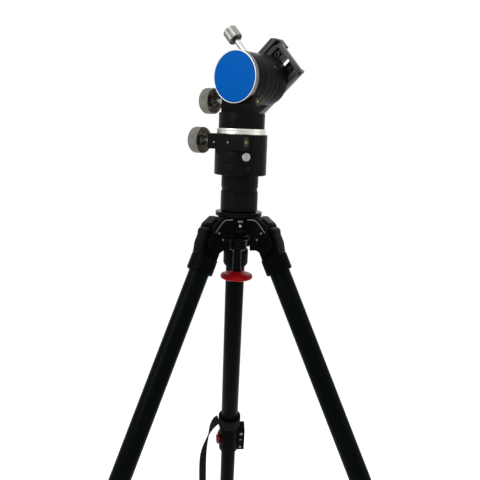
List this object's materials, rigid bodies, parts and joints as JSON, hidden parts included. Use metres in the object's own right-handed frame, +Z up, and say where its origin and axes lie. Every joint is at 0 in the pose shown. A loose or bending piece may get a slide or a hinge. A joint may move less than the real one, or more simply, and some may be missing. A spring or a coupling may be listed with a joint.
{
  "type": "tripod with altazimuth mount head",
  "caption": "Folding tripod with telescopic flip-lock legs, a levelling half-ball and a worm-driven altazimuth head with a dovetail saddle.",
  "frame": {"origin": "ground level, at the centre of the box round the whole stand", "axes": "+Z up; the rear leg points along +Y; the head's end cap faces the front left"},
  "size_m": [0.9624, 0.8368, 1.424],
  "materials": {
    "anodised_black": "satin black anodised",
    "blue_cap": "blue face, bright rim",
    "brass": "machined",
    "casting_black": "black paint on a casting",
    "liner_plastic": "moulded",
    "red_plastic": "moulded",
    "rubber": "moulded",
    "silver": "clear anodised",
    "steel": "plated",
    "tube_black": "black anodised tube",
    "webbing": "woven"
  },
  "bodies": {
    "tripod_crown": {"spider": "casting_black", "leg_rear_hinge_pin": "steel", "leg_left_hinge_pin": "steel", "leg_right_hinge_pin": "steel"},
    "rear_stop": {"leg_rear_angle_stop": "anodised_black"},
    "rear_upper": {"leg_rear_bracket": "casting_black", "leg_rear_upper_tube": "tube_black", "leg_rear_upper_clamp": "casting_black", "carry_strap": "webbing"},
    "rear_middle": {"leg_rear_middle_tube": "tube_black", "leg_rear_lower_clamp": "casting_black"},
    "rear_lower": {"leg_rear_lower_tube": "tube_black", "leg_rear_foot": "rubber"},
    "rear_upper_lever": {"leg_rear_upper_lever": "red_plastic"},
    "rear_lower_lever": {"leg_rear_lower_lever": "red_plastic"},
    "left_stop": {"leg_left_angle_stop": "anodised_black"},
    "left_upper": {"leg_left_bracket": "casting_black", "leg_left_upper_tube": "tube_black", "leg_left_upper_clamp": "casting_black"},
    "left_middle": {"leg_left_middle_tube": "tube_black", "leg_left_lower_clamp": "casting_black"},
    "left_lower": {"leg_left_lower_tube": "tube_black", "leg_left_foot": "rubber"},
    "left_upper_lever": {"leg_left_upper_lever": "red_plastic"},
    "left_lower_lever": {"leg_left_lower_lever": "red_plastic"},
    "right_stop": {"leg_right_angle_stop": "anodised_black"},
    "right_upper": {"leg_right_bracket": "casting_black", "leg_right_upper_tube": "tube_black", "leg_right_upper_clamp": "casting_black"},
    "right_middle": {"leg_right_middle_tube": "tube_black", "leg_right_lower_clamp": "casting_black"},
    "right_lower": {"leg_right_lower_tube": "tube_black", "leg_right_foot": "rubber"},
    "right_upper_lever": {"leg_right_upper_lever": "red_plastic"},
    "right_lower_lever": {"leg_right_lower_lever": "red_plastic"},
    "ball_liner": {"ball_liner": "liner_plastic"},
    "leveller": {"half_ball": "anodised_black", "tie_down_stem": "steel", "tripod_adapter": "anodised_black", "azimuth_base": "anodised_black", "clutch_ring": "anodised_black", "clutch_screw": "steel"},
    "tie_down_cup": {"tie_down_cup": "anodised_black"},
    "tie_down_knob": {"tie_down_knob": "red_plastic"},
    "azimuth_wheel": {"azimuth_worm_wheel": "brass"},
    "head": {"azimuth_worm_housing": "anodised_black", "bearing_ring": "silver", "head_flange": "anodised_black", "altitude_housing": "anodised_black"},
    "azimuth_worm": {"azimuth_worm": "steel", "azimuth_knob": "silver"},
    "altitude_wheel": {"altitude_worm_wheel": "brass"},
    "altitude_worm": {"altitude_worm": "steel", "altitude_knob": "silver"},
    "altitude": {"altitude_shaft": "anodised_black", "end_cap": "blue_cap", "saddle": "anodised_black"},
    "jaw": {"saddle_jaw": "anodised_black"},
    "clamp_screw": {"clamp_screw": "steel", "clamp_knob": "silver"}
  },
  "joints": [
    {"name": "rear_stop_slide", "type": "slide", "parent": "tripod_crown", "child": "rear_stop", "axis": [0, 0.7783, -0.6279], "range_m": [0, 0.004], "stiffness_N_per_m": 600, "springref_m": -0.001},
    {"name": "rear_leg_fold", "type": "hinge", "parent": "tripod_crown", "child": "rear_upper", "pos_m": [0, -0.08947, 1.117], "axis": [-1, 0, 0], "range_deg": [0, 24.15], "deforming": ["carry_strap"]},
    {"name": "rear_middle_slide", "type": "slide", "parent": "rear_upper", "child": "rear_middle", "axis": [0, -0.4091, 0.9125], "range_m": [0, 0.3]},
    {"name": "rear_lower_slide", "type": "slide", "parent": "rear_middle", "child": "rear_lower", "axis": [0, -0.4091, 0.9125], "range_m": [0, 0.355]},
    {"name": "rear_upper_lever_flip", "type": "hinge", "parent": "rear_upper", "child": "rear_upper_lever", "pos_m": [0.022, 0.08104, 0.75015], "axis": [0, 0.4091, -0.9125], "range_deg": [0, 110]},
    {"name": "rear_lower_lever_flip", "type": "hinge", "parent": "rear_middle", "child": "rear_lower_lever", "pos_m": [0.0204, 0.2365, 0.40341], "axis": [0, 0.4091, -0.9125], "range_deg": [0, 110]},
    {"name": "left_stop_slide", "type": "slide", "parent": "tripod_crown", "child": "left_stop", "axis": [-0.674, -0.3892, -0.6279], "range_m": [0, 0.004], "stiffness_N_per_m": 600, "springref_m": -0.001},
    {"name": "left_leg_fold", "type": "hinge", "parent": "tripod_crown", "child": "left_upper", "pos_m": [-0.03958, -0.15802, 1.117], "axis": [0.5, -0.866, 0], "range_deg": [0, 24.15]},
    {"name": "left_middle_slide", "type": "slide", "parent": "left_upper", "child": "left_middle", "axis": [0.3543, 0.2046, 0.9125], "range_m": [0, 0.3]},
    {"name": "left_lower_slide", "type": "slide", "parent": "left_middle", "child": "left_lower", "axis": [0.3543, 0.2046, 0.9125], "range_m": [0, 0.355]},
    {"name": "left_upper_lever_flip", "type": "hinge", "parent": "left_upper", "child": "left_upper_lever", "pos_m": [-0.19824, -0.22423, 0.75015], "axis": [-0.3543, -0.2046, -0.9125], "range_deg": [0, 110]},
    {"name": "left_lower_lever_flip", "type": "hinge", "parent": "left_middle", "child": "left_lower_lever", "pos_m": [-0.33208, -0.30335, 0.40341], "axis": [-0.3543, -0.2046, -0.9125], "range_deg": [0, 110]},
    {"name": "right_stop_slide", "type": "slide", "parent": "tripod_crown", "child": "right_stop", "axis": [0.674, -0.3892, -0.6279], "range_m": [0, 0.004], "stiffness_N_per_m": 600, "springref_m": -0.001},
    {"name": "right_leg_fold", "type": "hinge", "parent": "tripod_crown", "child": "right_upper", "pos_m": [0.03958, -0.15802, 1.117], "axis": [0.5, 0.866, 0], "range_deg": [0, 24.15]},
    {"name": "right_middle_slide", "type": "slide", "parent": "right_upper", "child": "right_middle", "axis": [-0.3543, 0.2046, 0.9125], "range_m": [0, 0.3]},
    {"name": "right_lower_slide", "type": "slide", "parent": "right_middle", "child": "right_lower", "axis": [-0.3543, 0.2046, 0.9125], "range_m": [0, 0.355]},
    {"name": "right_upper_lever_flip", "type": "hinge", "parent": "right_upper", "child": "right_upper_lever", "pos_m": [0.17624, -0.26233, 0.75015], "axis": [0.3543, -0.2046, -0.9125], "range_deg": [0, 110]},
    {"name": "right_lower_lever_flip", "type": "hinge", "parent": "right_middle", "child": "right_lower_lever", "pos_m": [0.31168, -0.33868, 0.40341], "axis": [0.3543, -0.2046, -0.9125], "range_deg": [0, 110]},
    {"name": "level_tilt_x", "type": "hinge", "parent": "tripod_crown", "child": "ball_liner", "pos_m": [0, -0.13517, 1.153], "axis": [1, 0, 0], "range_deg": [-7.6, 0.9]},
    {"name": "level_tilt_y", "type": "hinge", "parent": "ball_liner", "child": "leveller", "pos_m": [0, -0.13517, 1.153], "axis": [0, 1, 0], "range_deg": [-4.7, 2.3]},
    {"name": "tie_down_cup_slide", "type": "slide", "parent": "leveller", "child": "tie_down_cup", "axis": [-0.0212, 0.0628, -0.9978], "range_m": [0, 0.003]},
    {"name": "tie_down_knob_turn", "type": "hinge", "parent": "tie_down_cup", "child": "tie_down_knob", "pos_m": [-0.00183, -0.12978, 1.06719], "axis": [0.0212, -0.0628, 0.9978], "range_deg": [-721, 1]},
    {"name": "azimuth_clutch", "type": "hinge", "parent": "leveller", "child": "azimuth_wheel", "pos_m": [0.00216, -0.14156, 1.25448], "axis": [0.0212, -0.0628, 0.9978], "continuous": true},
    {"name": "azimuth_drive", "type": "hinge", "parent": "azimuth_wheel", "child": "head", "pos_m": [0.00216, -0.14156, 1.25448], "axis": [0.0212, -0.0628, 0.9978], "continuous": true},
    {"name": "azimuth_worm_turn", "type": "hinge", "parent": "head", "child": "azimuth_worm", "pos_m": [-0.01649, -0.16414, 1.25345], "axis": [0.771, -0.6343, -0.0563], "continuous": true},
    {"name": "altitude_drive", "type": "hinge", "parent": "head", "child": "altitude_wheel", "pos_m": [0.00397, -0.14689, 1.33929], "axis": [0.6364, 0.7705, 0.0349], "continuous": true},
    {"name": "altitude_worm_turn", "type": "hinge", "parent": "head", "child": "altitude_worm", "pos_m": [0.00215, -0.1463, 1.3078], "axis": [0.771, -0.6343, -0.0563], "continuous": true},
    {"name": "altitude_clutch", "type": "hinge", "parent": "altitude_wheel", "child": "altitude", "pos_m": [0.00397, -0.14689, 1.33929], "axis": [0.6364, 0.7705, 0.0349], "continuous": true},
    {"name": "jaw_slide", "type": "slide", "parent": "altitude", "child": "jaw", "axis": [-0.5052, 0.3822, 0.7737], "range_m": [-0.0028, 0.006]},
    {"name": "clamp_screw_turn", "type": "hinge", "parent": "jaw", "child": "clamp_screw", "pos_m": [0.0409, -0.09611, 1.33831], "axis": [-0.5052, 0.3822, 0.7737], "range_deg": [-673, 1441]}
  ],
  "couplings": [
    {"joint": "tie_down_knob_turn", "follows": "tie_down_cup_slide", "rad_per_m": -4188.8},
    {"joint": "azimuth_worm_turn", "follows": "azimuth_drive", "ratio": 60},
    {"joint": "altitude_worm_turn", "follows": "altitude_drive", "ratio": 60},
    {"joint": "clamp_screw_turn", "follows": "jaw_slide", "rad_per_m": 4188.8}
  ]
}
